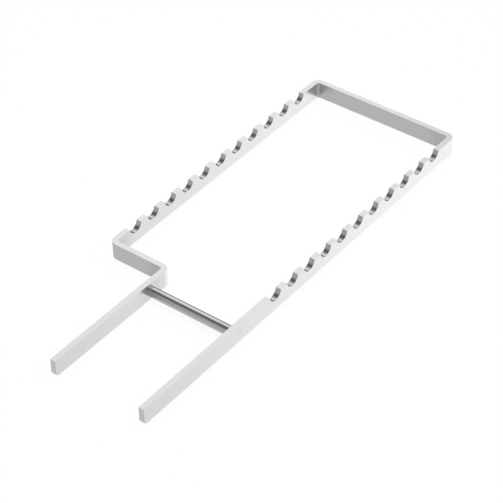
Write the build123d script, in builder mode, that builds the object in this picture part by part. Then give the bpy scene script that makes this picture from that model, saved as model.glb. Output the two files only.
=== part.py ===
"""Instrument stringer: a flat steel bar bent into an open rack, with a round rod between its arms.

The rack lies flat, bar on edge. X runs across the rack, Y from the free arm ends to the closed far
end, and Z up. The origin is at the middle of the rack's length and width, on the surface it rests on.
All sizes are in millimetres.
"""

import os
from math import floor

from build123d import *

# Overall sizes of the bent bar
overall_length = 250.0    # free arm ends to the outer face of the far bar
rack_width = 88.0         # over the outer faces of the two rails
arm_spread = 54.8         # over the outer faces of the two arms
arm_length = 78.9         # free arm ends to the front face of the jog

# Bar stock and its bends
bar_height = 9.3
bar_thickness = 3.0
bend_inner_radius = 1.3
toe_radius = 2.0          # lower front corner of each arm
edge_break = 0.05         # fine bevel that dulls every edge of the bar

# Half-round notches in the top edge of both rails
notch_radius = 4.2
notch_depth = 3.8
notch_pitch = 13.4
notch_start = 13.85       # back face of the jog to the first notch's centre
notch_end_room = 12.0     # least room from the last notch's centre to the far bar

# Cross rod between the arms
rod_diameter = 5.3
rod_setback = 12.0        # front face of the jog to the rod's axis
rod_clearance = 0.02      # between the rod and its holes, all round

# Faces and centre lines that follow from the sizes above
half_thickness = bar_thickness / 2
end_y = -overall_length / 2
far_y = overall_length / 2
jog_front_y = end_y + arm_length
jog_back_y = jog_front_y + bar_thickness
right_x = rack_width / 2
left_x = -rack_width / 2
left_arm_x = right_x - arm_spread

rail_run = far_y - bar_thickness - jog_back_y
notch_count = 1 + floor((rail_run - notch_start - notch_end_room) / notch_pitch)
notch_row_middle_y = jog_back_y + notch_start + (notch_count - 1) * notch_pitch / 2
notch_centre_z = bar_height - notch_depth + notch_radius

rod_y = jog_front_y - rod_setback
rod_z = bar_height / 2


# The bar is one length of flat stock on edge, so its centre line in plan is the route of a sweep.
with BuildPart() as notched_frame:
    with BuildLine() as route:
        FilletPolyline(
            (right_x - half_thickness, end_y),
            (right_x - half_thickness, far_y - half_thickness),
            (left_x + half_thickness, far_y - half_thickness),
            (left_x + half_thickness, jog_front_y + half_thickness),
            (left_arm_x + half_thickness, jog_front_y + half_thickness),
            (left_arm_x + half_thickness, end_y),
            radius=bend_inner_radius + half_thickness,
        )
    with BuildSketch(Plane.XZ.offset(-end_y)):
        with Locations((right_x - half_thickness, bar_height / 2)):
            Rectangle(bar_thickness, bar_height)
    sweep(path=route.line)

    # The lower front corner of each arm is rounded, so that rings slide on easily.
    toes = notched_frame.edges().filter_by(Axis.X).group_by(Axis.Y)[0].group_by(Axis.Z)[0]
    fillet(toes, radius=toe_radius)

    # One row of round cutters crosses both rails, so the notches face each other in pairs.
    with BuildSketch(Plane.YZ.offset(left_x)):
        with Locations((notch_row_middle_y, notch_centre_z)):
            with GridLocations(notch_pitch, notch_pitch, notch_count, 1):
                Circle(notch_radius)
    extrude(amount=rack_width, mode=Mode.SUBTRACT)

    # Every edge is broken before the rod's holes are drilled, which stay sharp.
    chamfer(notched_frame.edges(), length=edge_break)

    with BuildSketch(Plane.YZ.offset(left_arm_x)):
        with Locations((rod_y, rod_z)):
            Circle(rod_diameter / 2 + rod_clearance)
    extrude(amount=arm_spread, mode=Mode.SUBTRACT)

# The rod passes through both arms and is dressed flush with their outer faces.
with BuildPart() as cross_rod:
    with BuildSketch(Plane.YZ.offset(left_arm_x)):
        with Locations((rod_y, rod_z)):
            Circle(rod_diameter / 2)
    extrude(amount=arm_spread)


notched_frame.part.label = "notched_frame"
cross_rod.part.label = "cross_rod"

os.makedirs("parts", exist_ok=True)
export_step(notched_frame.part, "parts/notched_frame.step")
export_step(cross_rod.part, "parts/cross_rod.step")
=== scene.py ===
"""The look of the instrument stringer: satin steel bar, polished rod, white table and soft studio light.

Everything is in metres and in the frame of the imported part: X runs across the rack, Y from the free
arm ends to the closed far end, and Z up from the surface that the rack rests on.
"""

from math import cos, radians, sin

import bpy
from mathutils import Matrix, Vector


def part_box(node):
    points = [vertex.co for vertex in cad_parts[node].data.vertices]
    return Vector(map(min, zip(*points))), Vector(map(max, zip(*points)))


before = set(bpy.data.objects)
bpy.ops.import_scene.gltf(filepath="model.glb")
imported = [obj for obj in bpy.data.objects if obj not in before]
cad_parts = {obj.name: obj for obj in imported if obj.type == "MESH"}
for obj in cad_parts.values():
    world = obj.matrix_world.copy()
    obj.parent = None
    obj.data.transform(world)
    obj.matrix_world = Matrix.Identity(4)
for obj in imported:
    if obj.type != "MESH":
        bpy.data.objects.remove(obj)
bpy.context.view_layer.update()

MILLIMETRE = 0.001

# Camera, set to the photograph's viewing angle
CAMERA_AZIMUTH = 38.11      # degrees, 0 looks along +Y and 90 along -X
CAMERA_ELEVATION = 39.71    # degrees above the horizon
CAMERA_ROLL = -1.10         # degrees
CAMERA_DISTANCE = 0.9302
CAMERA_LENS = 138.1         # millimetres, on a sensor 36 mm wide
CAMERA_AIM = Vector((0.01249, -0.00661, 0.0044))

# Table
TABLE_RADIUS = 6.0
TABLE_CORNERS = 64
TABLE_ALBEDO = 0.9
TABLE_SHADOW = 0.07         # how much of the table's look is its real shading, which holds the shadow
VIEW_DEPTH = 4 * TABLE_RADIUS   # how far the camera sees, well past the table's edge

# Overhead lamp
LAMP_HEIGHT = 1.2
LAMP_SIZE = 0.7
LAMP_POWER = 9.0

# Studio around the object, drawn in the world by direction. Its levels are brightness, where 1 is white.
# It has a pale ground, dark walls, a large softbox behind the object and a dim ceiling in front, with a
# dark gap between the two overhead. The camera sees plain white in its place. The table is hidden from
# the metal, which mirrors the pale ground there instead. That is greyer than the table looks, apart from
# the patches behind.
GROUND_LEVEL = 0.62
WALL_LEVEL = 0.10
SOFTBOX_LEVEL = 1.50
GAP_LEVEL = 0.12
FRONT_LEVEL = 0.46
WALL_START = (-0.12, 0.02)      # heights of unit directions between which the ground turns into wall
OVERHEAD_START = (0.29, 0.50)   # and between which the wall turns into what is overhead
GAP_ELEVATION = 69              # degrees above the front horizon, where the gap is darkest
STUDIO_WIDTH = 2.0              # how much wider than deep the softbox, the gap and the ceiling are

# Sines of the angle from the gap between which the softbox ends and the front ceiling begins. The first
# is beyond any sine, so the softbox stays a little below its level throughout.
SOFTBOX_END = (-1.28, -0.05)
FRONT_START = (0.12, 0.82)

# Soft patches of the studio: azimuth, elevation, full within, gone beyond (degrees), width, brightness.
# The fill cards keep the tops of the bar clear when the rack is seen from behind.
STUDIO_PATCHES = {
    "front horizon": (0, 4, 18, 46, 2.0, 0.51),
    "pale ground at the right": (135, -42, 20, 50, 1.0, 0.86),
    "pale ground behind": (174, -34, 12, 32, 1.0, 1.12),
    "bright ground behind": (149, -35, 2, 13, 1.0, 1.28),
    "dark ground at the front right": (38, -40, 12, 45, 1.0, 0.44),
    "shaded ground below": (0, -90, 12, 42, 1.0, 0.53),
    "end of the softbox": (198, 36, 3, 13, 1.0, 0.33),
    "fill card in front": (4, 50, 8, 25, 1.0, 0.75),
    "fill card at the right": (80, 32, 12, 27, 1.0, 0.70),
}

# Satin steel of the bar
SATIN_COLOUR = 0.74
SATIN_ROUGHNESS = 0.25
NOTCH_ROUGHNESS = 0.21      # the milled notches are smoother than the satin faces
NOTCH_SHADE_TINT = 0.88           # and a little darker, a painted shade in the recess
NOTCH_FLOOR_SHADE_TINT = 0.80     # that painted shade is deepest on their floors, where the instruments rest
END_LIGHT_TINT = 1.09             # painted light: the ends of the arms are a little lighter

# Painted shade inside the bends and round the roots of the rod, where the faces meet, and a duller finish
# inside the bends
CORNER_REACH = 14 * MILLIMETRE    # no painted shade or added roughness beyond this distance
CORNER_FULL = 3 * MILLIMETRE      # fully so within this one
# painted shade: share of the colour kept at these places
CORNER_SHADE_TINT = 0.92
BEND_ROUGHNESS = 0.12       # added to the satin's inside the bends

# Polished steel of the rod
POLISH_COLOUR = 0.72
POLISH_ROUGHNESS = 0.19
MARK_DEPTH = 0.055          # how much darker the dressed ends of the rod are at their middle
MARK_FADE = (0.9, 0.2)      # shares of the rod's radius between which they darken

# Grain of the steel, and slower clouds over it on the bar. The tints are shares of the colour.
GRAIN_WIDTH = 0.14 * MILLIMETRE
GRAIN_LENGTH = 30 * MILLIMETRE
GRAIN_HEIGHT = 0.0006 * MILLIMETRE
GRAIN_DETAIL = 3.0          # octaves of noise
GRAIN_HARSHNESS = 0.6       # how strong the finer octaves are
GRAIN_TINT = 0.08
GRAIN_ROUGHNESS = 0.06      # how much the bar's roughness varies with the grain
ROD_GRAIN_ROUGHNESS = 0.05
CLOUD_SIZE = 18 * MILLIMETRE
CLOUD_DETAIL = 2.0
CLOUD_TINT = 0.016
CLOUD_ROUGHNESS = 0.04

# Shares of a surface's normal that tell which way it faces
FACING = 0.5                # at least this much, and it faces that way
FLOOR_FACING = 0.95         # as level as the floor of a notch
END_FACING = 0.9            # as square to the rod as its ends

# Sizes from the part's source
BAR_THICKNESS = 3 * MILLIMETRE
ROD_TO_JOG = 13.5 * MILLIMETRE      # rod's axis to the middle line of the jog

# Places on the part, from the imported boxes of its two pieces
BAR_LOW, BAR_HIGH = (Vector(corner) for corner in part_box("notched_frame"))
ROD_LOW, ROD_HIGH = (Vector(corner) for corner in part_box("cross_rod"))
ROD_MIDDLE = (ROD_LOW + ROD_HIGH) / 2
RAIL_X = BAR_HIGH.x - BAR_THICKNESS / 2
LEFT_ARM_X = ROD_LOW.x + BAR_THICKNESS / 2
JOG_Y = ROD_MIDDLE.y + ROD_TO_JOG
FAR_BAR_Y = BAR_HIGH.y - BAR_THICKNESS / 2
RAIL_INNER_X = RAIL_X - BAR_THICKNESS / 2
FAR_BAR_INNER_Y = FAR_BAR_Y - BAR_THICKNESS / 2

# Limits between the finishes of the bar
BEVEL_ROOM = 0.04 * BAR_THICKNESS   # reaches just past the bevel of an edge
ROW_END_ROOM = 6 * MILLIMETRE       # without notches, from the middle line of a cross bar
BELOW_NOTCHES = 0.3                 # share of the bar's height that lies below every notch
FAR_OFF = 1.0                       # a distance larger than the part

# Insides of the bends in plan: place, the sides that the bar faces there, and the strength of the painted
# shade and added roughness
BEND_INSIDES = (
    (RAIL_INNER_X, FAR_BAR_INNER_Y, -1, -1, 1.0),
    (-RAIL_INNER_X, FAR_BAR_INNER_Y, 1, -1, 0.3),
    (-RAIL_INNER_X, JOG_Y + BAR_THICKNESS / 2, 1, 1, 1.0),
    (LEFT_ARM_X - BAR_THICKNESS / 2, JOG_Y - BAR_THICKNESS / 2, -1, -1, 1.0),
)

# Roots of the rod on the inner faces of the arms, in the same form, for painted shade only
ROD_ROOTS = (
    (LEFT_ARM_X + BAR_THICKNESS / 2, ROD_MIDDLE.y, 1, 0, 1.0),
    (RAIL_INNER_X, ROD_MIDDLE.y, -1, 0, 1.0),
)


def direction(azimuth, elevation):
    """Unit vector that points from the object towards a place in the studio."""
    azimuth = radians(azimuth)
    elevation = radians(elevation)
    return Vector((sin(azimuth) * cos(elevation), -cos(azimuth) * cos(elevation), sin(elevation)))


class Nodes:
    """Short calls for building a node tree."""

    def __init__(self, tree):
        self.tree = tree
        tree.nodes.clear()

    def add(self, kind, inputs=None, **settings):
        """Adds a node, sets its properties, and sets or links its inputs by name or number."""
        node = self.tree.nodes.new(kind)
        for name, value in settings.items():
            setattr(node, name, value)
        for key, value in (inputs or {}).items():
            if isinstance(value, bpy.types.NodeSocket):
                self.tree.links.new(value, node.inputs[key])
            else:
                node.inputs[key].default_value = value
        return node

    def math(self, operation, *values):
        """Result of a Math node."""
        return self.add("ShaderNodeMath", dict(enumerate(values)), operation=operation).outputs[0]

    def product(self, first, *others):
        """Product of several numbers."""
        for other in others:
            first = self.math("MULTIPLY", first, other)
        return first

    def without(self, share):
        """What a share leaves of 1."""
        return self.math("SUBTRACT", 1.0, share)

    def apart(self, value, middle):
        """Distance of a coordinate from a place."""
        return self.math("ABSOLUTE", self.math("SUBTRACT", value, middle))

    def vary(self, noise, swing, middle=0.0):
        """Number that varies by the swing around the middle, with a noise of 0 to 1."""
        return self.math("MULTIPLY_ADD", noise, swing, middle - swing / 2)

    def vector(self, operation, *values):
        """Result of a Vector Math node, which is a number for a length or a dot product."""
        node = self.add("ShaderNodeVectorMath", dict(enumerate(values)), operation=operation)
        return node.outputs["Value" if operation in ("LENGTH", "DOT_PRODUCT") else "Vector"]

    def split(self, vector):
        """The three numbers of a vector."""
        return self.add("ShaderNodeSeparateXYZ", {0: vector}).outputs

    def mix(self, factor, low, high):
        """Number between low and high."""
        return self.add("ShaderNodeMix", {0: factor, 2: low, 3: high}, data_type="FLOAT").outputs[0]

    def smooth(self, value, start, end):
        """0 at start, 1 at end, and a smooth step between them."""
        inputs = {"Value": value, "From Min": start, "From Max": end}
        node = self.add("ShaderNodeMapRange", inputs, interpolation_type="SMOOTHSTEP")
        return node.outputs["Result"]


def new_material(name):
    """Material without nodes, and the calls that build its nodes."""
    material = bpy.data.materials.new(name)
    material.use_nodes = True
    return material, Nodes(material.node_tree)


def make_camera():
    """Camera at the photograph's viewing angle."""
    back = direction(CAMERA_AZIMUTH, CAMERA_ELEVATION)
    right = direction(CAMERA_AZIMUTH + 90, 0)
    up = back.cross(right)
    turn = Matrix((right, up, back)).transposed().to_4x4()
    camera = bpy.data.objects.new("camera", bpy.data.cameras.new("camera"))
    camera.matrix_world = (
        Matrix.Translation(CAMERA_AIM + CAMERA_DISTANCE * back)
        @ turn
        @ Matrix.Rotation(radians(CAMERA_ROLL), 4, "Z")
    )
    camera.data.lens = CAMERA_LENS
    camera.data.clip_end = VIEW_DEPTH
    bpy.context.scene.collection.objects.link(camera)
    bpy.context.scene.camera = camera


def make_studio():
    """World that the metal mirrors and that lights the scene, and that is plain white to the camera."""
    world = bpy.data.worlds.new("studio")
    world.use_nodes = True
    bpy.context.scene.world = world
    nodes = Nodes(world.node_tree)
    towards = nodes.add("ShaderNodeTexCoord").outputs["Generated"]
    height = nodes.split(towards)["Z"]

    # Square to the gap's plane, so that the dot product is the sine of the angle from the gap
    past_gap = direction(0, GAP_ELEVATION - 90)
    widened = nodes.vector("NORMALIZE", nodes.vector("MULTIPLY", towards, Vector((1 / STUDIO_WIDTH, 1, 1))))
    from_gap = nodes.vector("DOT_PRODUCT", widened, past_gap)
    overhead = nodes.mix(nodes.smooth(from_gap, *SOFTBOX_END), SOFTBOX_LEVEL, GAP_LEVEL)
    overhead = nodes.mix(nodes.smooth(from_gap, *FRONT_START), overhead, FRONT_LEVEL)
    level = nodes.mix(nodes.smooth(height, *WALL_START), GROUND_LEVEL, WALL_LEVEL)
    level = nodes.mix(nodes.smooth(height, *OVERHEAD_START), level, overhead)

    for azimuth, elevation, full, gone, width, brightness in STUDIO_PATCHES.values():
        narrowed = Vector((1 / width, 1, 1))
        middle = (direction(azimuth, elevation) * narrowed).normalized()
        squeezed = nodes.vector("NORMALIZE", nodes.vector("MULTIPLY", towards, narrowed))
        near = nodes.vector("DOT_PRODUCT", squeezed, middle)
        inside = nodes.smooth(near, cos(radians(gone)), cos(radians(full)))
        level = nodes.mix(inside, level, brightness)

    camera_ray = nodes.add("ShaderNodeLightPath").outputs["Is Camera Ray"]
    strength = nodes.mix(camera_ray, level, 1.0)
    background = nodes.add("ShaderNodeBackground", {"Color": (1, 1, 1, 1), "Strength": strength})
    nodes.add("ShaderNodeOutputWorld", {"Surface": background.outputs[0]})


def seen_plainly(nodes):
    """1 for camera, glossy and transmission rays, and 0 for the rest."""
    path = nodes.add("ShaderNodeLightPath")
    shown = nodes.math("MAXIMUM", path.outputs["Is Camera Ray"], path.outputs["Is Glossy Ray"])
    return nodes.math("MAXIMUM", shown, path.outputs["Is Transmission Ray"])


def make_table():
    """White table for the camera, with a part of its own shading. It is hidden from the metal."""
    bpy.ops.mesh.primitive_circle_add(vertices=TABLE_CORNERS, radius=TABLE_RADIUS, fill_type="NGON")
    table = bpy.context.object
    table.name = "table"
    material, nodes = new_material("white_table")
    shaded = nodes.add("ShaderNodeBsdfDiffuse", {"Color": (TABLE_ALBEDO, TABLE_ALBEDO, TABLE_ALBEDO, 1)})
    white = nodes.add("ShaderNodeEmission", {"Color": (1, 1, 1, 1), "Strength": 1.0})
    whiteness = nodes.math("MULTIPLY", seen_plainly(nodes), 1 - TABLE_SHADOW)
    look = nodes.add("ShaderNodeMixShader", {0: whiteness, 1: shaded.outputs[0], 2: white.outputs[0]})
    nodes.add("ShaderNodeOutputMaterial", {"Surface": look.outputs[0]})
    table.data.materials.append(material)

    # With this the metal mirrors the studio's ground in place of the table, and the glossy rays that
    # seen_plainly counts don't reach the table.
    table.visible_glossy = False


def make_lamp():
    """Large soft lamp over the rack."""
    lamp = bpy.data.lights.new("overhead_lamp", "AREA")
    lamp.shape = "DISK"
    lamp.size = LAMP_SIZE
    lamp.energy = LAMP_POWER
    holder = bpy.data.objects.new("overhead_lamp", lamp)
    holder.location = (0, 0, LAMP_HEIGHT)
    holder.visible_glossy = False
    bpy.context.scene.collection.objects.link(holder)


def streaks(nodes, place, along):
    """Noise drawn out along some of the axes, such as "y" or "xy"."""
    scale = Vector([1 / GRAIN_LENGTH if axis in along else 1 / GRAIN_WIDTH for axis in "xyz"])
    noise = nodes.add("ShaderNodeTexNoise", {
        "Vector": nodes.vector("MULTIPLY", place, scale),
        "Scale": 1.0,
        "Detail": GRAIN_DETAIL,
        "Roughness": GRAIN_HARSHNESS,
    })
    return noise.outputs["Fac"]


def clouds(nodes, place):
    """Slow variation from place to place."""
    inputs = {"Vector": place, "Scale": 1 / CLOUD_SIZE, "Detail": CLOUD_DETAIL}
    return nodes.add("ShaderNodeTexNoise", inputs).outputs["Fac"]


def corner_nearness(nodes, place, normal, spots):
    """How near the spots a point is, for painted shade and added roughness: most at the spots, on the sides
    of the bar that they name, and 0 far off.
    """
    corner_weight = 0.0
    for x, y, side_x, side_y, strength in spots:
        from_spot = nodes.vector("SUBTRACT", place, Vector((x, y, 0)))
        in_plan = nodes.vector("MULTIPLY", from_spot, Vector((1, 1, 0)))
        near = nodes.smooth(nodes.vector("LENGTH", in_plan), CORNER_REACH, CORNER_FULL)
        towards_side = nodes.vector("DOT_PRODUCT", normal, Vector((side_x, side_y, 0)))
        on_side = nodes.math("GREATER_THAN", towards_side, FACING)
        corner_weight = nodes.math("MAXIMUM", corner_weight, nodes.product(near, on_side, strength))
    return corner_weight


def on_cross_bars(nodes, x, y):
    """1 where the nearest stretch of the bar runs along X, on the far bar and the jog, and 0 elsewhere."""
    behind_jog = nodes.math("GREATER_THAN", y, JOG_Y + BAR_THICKNESS)
    to_left_arm = nodes.math("MULTIPLY_ADD", behind_jog, FAR_OFF, nodes.apart(x, LEFT_ARM_X))
    to_rail = nodes.apart(nodes.math("ABSOLUTE", x), RAIL_X)
    to_long_bar = nodes.math("MINIMUM", to_rail, to_left_arm)
    at_right = nodes.math("GREATER_THAN", x, 0.0)
    to_jog = nodes.math("MULTIPLY_ADD", at_right, FAR_OFF, nodes.apart(y, JOG_Y))
    to_cross_bar = nodes.math("MINIMUM", nodes.apart(y, FAR_BAR_Y), to_jog)
    return nodes.math("LESS_THAN", to_cross_bar, to_long_bar)


def in_notches(nodes, y, z, facing_x):
    """1 on the walls of the notches: below the top, between the cross bars, and not a side of the rail."""
    below_top = nodes.math("LESS_THAN", z, BAR_HIGH.z - BEVEL_ROOM)
    above_base = nodes.math("GREATER_THAN", z, BELOW_NOTCHES * BAR_HIGH.z)
    row_middle = (JOG_Y + FAR_BAR_Y) / 2
    row_reach = (FAR_BAR_Y - JOG_Y) / 2 - ROW_END_ROOM
    in_row = nodes.math("LESS_THAN", nodes.apart(y, row_middle), row_reach)
    not_side = nodes.math("LESS_THAN", facing_x, FACING)
    return nodes.product(below_top, above_base, in_row, not_side)


def metal(material, nodes, level, tint, roughness, grain):
    """Finishes a steel material: grey of the level times the tint, with the grain as bump."""
    grey = nodes.math("MULTIPLY", tint, level)
    colour = nodes.add("ShaderNodeCombineColor", {0: grey, 1: grey, 2: grey})
    bump = nodes.add("ShaderNodeBump", {"Height": grain, "Distance": GRAIN_HEIGHT, "Strength": 1.0})
    surface = nodes.add("ShaderNodeBsdfPrincipled", {
        "Base Color": colour.outputs[0],
        "Metallic": 1.0,
        "Roughness": roughness,
        "Normal": bump.outputs[0],
    })
    nodes.add("ShaderNodeOutputMaterial", {"Surface": surface.outputs[0]})
    return material


def satin_steel():
    """Satin finish of the bent bar, with painted shade in its notches, inside its bends and round the rod's
    roots, painted light on the ends of its arms, and rougher bends.

    The grain follows the bar round the bends, across the notches and level along the sides.
    """
    material, nodes = new_material("satin_steel")
    coordinates = nodes.add("ShaderNodeTexCoord")
    place = coordinates.outputs["Object"]
    normal = coordinates.outputs["Normal"]
    x, y, z = nodes.split(place)
    facing_x, facing_y, facing_z = nodes.split(nodes.vector("ABSOLUTE", normal))

    notch_wall = in_notches(nodes, y, z, facing_x)
    side = nodes.product(nodes.math("LESS_THAN", facing_z, FACING), nodes.without(notch_wall))
    crosswise = nodes.math("MAXIMUM", on_cross_bars(nodes, x, y), notch_wall)
    grain = nodes.mix(crosswise, streaks(nodes, place, "y"), streaks(nodes, place, "x"))
    grain = nodes.mix(side, grain, streaks(nodes, place, "xy"))
    cloud = clouds(nodes, place)

    on_floor = nodes.smooth(facing_z, FACING, FLOOR_FACING)
    at_arm_end = nodes.math("LESS_THAN", y, BAR_LOW.y + BEVEL_ROOM)
    in_bend = corner_nearness(nodes, place, normal, BEND_INSIDES)
    at_root = corner_nearness(nodes, place, normal, ROD_ROOTS)
    tint = nodes.product(
        nodes.vary(grain, GRAIN_TINT, 1),
        nodes.vary(cloud, CLOUD_TINT, 1),
        # painted shade in the notches, deepest on their floors
        nodes.mix(notch_wall, 1.0, nodes.mix(on_floor, NOTCH_SHADE_TINT, NOTCH_FLOOR_SHADE_TINT)),
        # painted light on the ends of the arms
        nodes.mix(at_arm_end, 1.0, END_LIGHT_TINT),
        # painted shade inside the bends and round the rod's roots
        nodes.mix(nodes.math("MAXIMUM", in_bend, at_root), 1.0, CORNER_SHADE_TINT),
    )

    roughness = nodes.mix(notch_wall, SATIN_ROUGHNESS, NOTCH_ROUGHNESS)
    roughness = nodes.math("MULTIPLY_ADD", in_bend, BEND_ROUGHNESS, roughness)
    roughness = nodes.math("ADD", roughness, nodes.vary(grain, GRAIN_ROUGHNESS))
    roughness = nodes.math("ADD", roughness, nodes.vary(cloud, CLOUD_ROUGHNESS))
    return metal(material, nodes, SATIN_COLOUR, tint, roughness, grain)


def polished_steel():
    """Polish of the round rod, drawn out along it, with painted shade near the arms.

    Its ends are satin, and a little darker at the middle.
    """
    material, nodes = new_material("polished_steel")
    coordinates = nodes.add("ShaderNodeTexCoord")
    place = coordinates.outputs["Object"]
    facing_x = nodes.split(nodes.vector("ABSOLUTE", coordinates.outputs["Normal"]))["X"]
    end = nodes.math("GREATER_THAN", facing_x, END_FACING)
    grain = nodes.mix(end, streaks(nodes, place, "x"), streaks(nodes, place, "y"))

    # Mark at the middle of each end
    from_middle = nodes.vector("SUBTRACT", place, ROD_MIDDLE)
    from_axis = nodes.vector("LENGTH", nodes.vector("MULTIPLY", from_middle, Vector((0, 1, 1))))
    rim = (ROD_HIGH.z - ROD_LOW.z) / 2
    mark = nodes.product(end, nodes.smooth(from_axis, *(share * rim for share in MARK_FADE)))

    # Roots, where the rod enters the inner faces of the arms and gets painted shade
    x = nodes.split(place)["X"]
    half_span = (ROD_HIGH.x - ROD_LOW.x) / 2 - BAR_THICKNESS
    to_arm = nodes.math("SUBTRACT", half_span, nodes.apart(x, ROD_MIDDLE.x))
    at_root = nodes.product(nodes.smooth(to_arm, CORNER_REACH, CORNER_FULL), nodes.without(end))

    tint = nodes.product(
        nodes.vary(grain, GRAIN_TINT, 1),
        nodes.mix(end, 1.0, SATIN_COLOUR / POLISH_COLOUR),
        # painted shade near the arms
        nodes.mix(at_root, 1.0, CORNER_SHADE_TINT),
        nodes.math("MULTIPLY_ADD", mark, -MARK_DEPTH, 1.0),
    )
    roughness = nodes.mix(end, POLISH_ROUGHNESS, SATIN_ROUGHNESS)
    roughness = nodes.math("ADD", roughness, nodes.vary(grain, ROD_GRAIN_ROUGHNESS))
    return metal(material, nodes, POLISH_COLOUR, tint, roughness, grain)


def give(node, material):
    """Puts the material on every slot of a CAD node."""
    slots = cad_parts[node].data.materials
    slots.clear()
    slots.append(material)


bpy.context.scene.view_settings.view_transform = "Standard"
make_camera()
make_studio()
make_table()
make_lamp()
give("notched_frame", satin_steel())
give("cross_rod", polished_steel())
